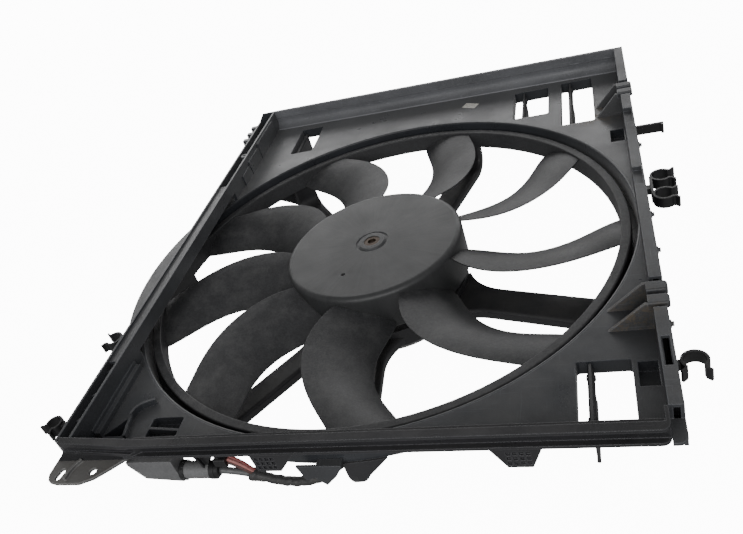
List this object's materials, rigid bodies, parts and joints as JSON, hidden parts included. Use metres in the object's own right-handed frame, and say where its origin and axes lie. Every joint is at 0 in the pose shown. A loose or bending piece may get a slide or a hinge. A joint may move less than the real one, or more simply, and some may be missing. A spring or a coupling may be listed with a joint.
{
  "type": "radiator fan shroud",
  "caption": "Rectangular plastic radiator fan shroud with a ringed axial fan on a flat electric motor, swinging ram-air flaps, hose clips, mounting hooks and a clipped motor lead.",
  "frame": {"origin": "on the fan's axis, at the flat rear face of the motor", "axes": "+Z along the fan's axis towards the radiator, +Y towards the side with the plain label, +X towards the side with the hooks"},
  "size_m": [0.533, 0.605, 0.104],
  "materials": {
    "moulding": "satin",
    "fan_plastic": "satin",
    "clip_plastic": "satin",
    "dark_plastic": "satin",
    "grey_plastic": "satin",
    "rubber": "matte",
    "loom_tape": "matte",
    "wire_skin": "satin",
    "steel": "satin",
    "insert_metal": "aged",
    "cast_aluminium": "cast",
    "core_steel": "laminated",
    "magnet": "sintered",
    "copper": "enamelled",
    "board": "lacquered",
    "zinc": "plated",
    "label_film": "satin"
  },
  "bodies": {
    "shroud": {"panel_face": "moulding", "collar": "moulding", "collar_lip": "moulding", "near_wall": "moulding", "far_wall": "moulding", "right_wall": "moulding", "left_channel": "moulding", "mounting_ear": "moulding", "near_tabs": "moulding", "hook_gussets": "moulding", "hooks": "moulding", "snap_pegs": "moulding", "latch_rib": "moulding", "flap_sockets": "moulding", "stator_arms": "moulding", "motor_mount_ring": "moulding", "lead_clip": "moulding", "hose_clip_near_right": "clip_plastic", "hose_clip_double": "clip_plastic", "hose_clip_paddle": "clip_plastic", "hose_clip_left_middle": "clip_plastic", "hose_clip_left_near": "clip_plastic", "front_bearing": "steel", "rear_bearing": "steel", "stator_core": "core_steel", "stator_windings": "copper", "motor_base": "cast_aluminium", "motor_case": "cast_aluminium", "circuit_board": "board", "motor_screws": "zinc", "cable_gland": "rubber", "plug_seal": "rubber", "motor_lead": "loom_tape", "power_wires": "wire_skin", "plug_housing": "grey_plastic", "plug_body": "grey_plastic", "plug_collar": "dark_plastic", "wire_plug": "dark_plastic", "plug_latch": "dark_plastic", "blank_label": "label_film"},
    "fan": {"fan_hub": "fan_plastic", "fan_blades": "fan_plastic", "fan_ring": "fan_plastic", "hub_insert": "insert_metal", "motor_shaft": "steel", "rotor_bell": "steel", "rotor_magnets": "magnet"},
    "near_right_flap": {"flap_near_right": "clip_plastic"},
    "far_inner_flap": {"flap_far_inner": "clip_plastic"},
    "far_outer_flap": {"flap_far_outer": "clip_plastic"},
    "far_left_flap": {"flap_far_left": "clip_plastic"}
  },
  "joints": [
    {"name": "fan_spin", "type": "hinge", "parent": "shroud", "child": "fan", "pos_m": [0, 0, 0.05], "axis": [0, 0, 1], "continuous": true},
    {"name": "near_right_flap_hinge", "type": "hinge", "parent": "shroud", "child": "near_right_flap", "pos_m": [0.1945, -0.207, 0.072], "axis": [0, -1, 0], "range_deg": [0, 76]},
    {"name": "far_inner_flap_hinge", "type": "hinge", "parent": "shroud", "child": "far_inner_flap", "pos_m": [0.136, 0.248, 0.072], "axis": [0, -1, 0], "range_deg": [0, 76]},
    {"name": "far_outer_flap_hinge", "type": "hinge", "parent": "shroud", "child": "far_outer_flap", "pos_m": [0.188, 0.232, 0.072], "axis": [0, -1, 0], "range_deg": [0, 76]},
    {"name": "far_left_flap_hinge", "type": "hinge", "parent": "shroud", "child": "far_left_flap", "pos_m": [-0.154, 0.2645, 0.072], "axis": [0, -1, 0], "range_deg": [0, 76]}
  ]
}
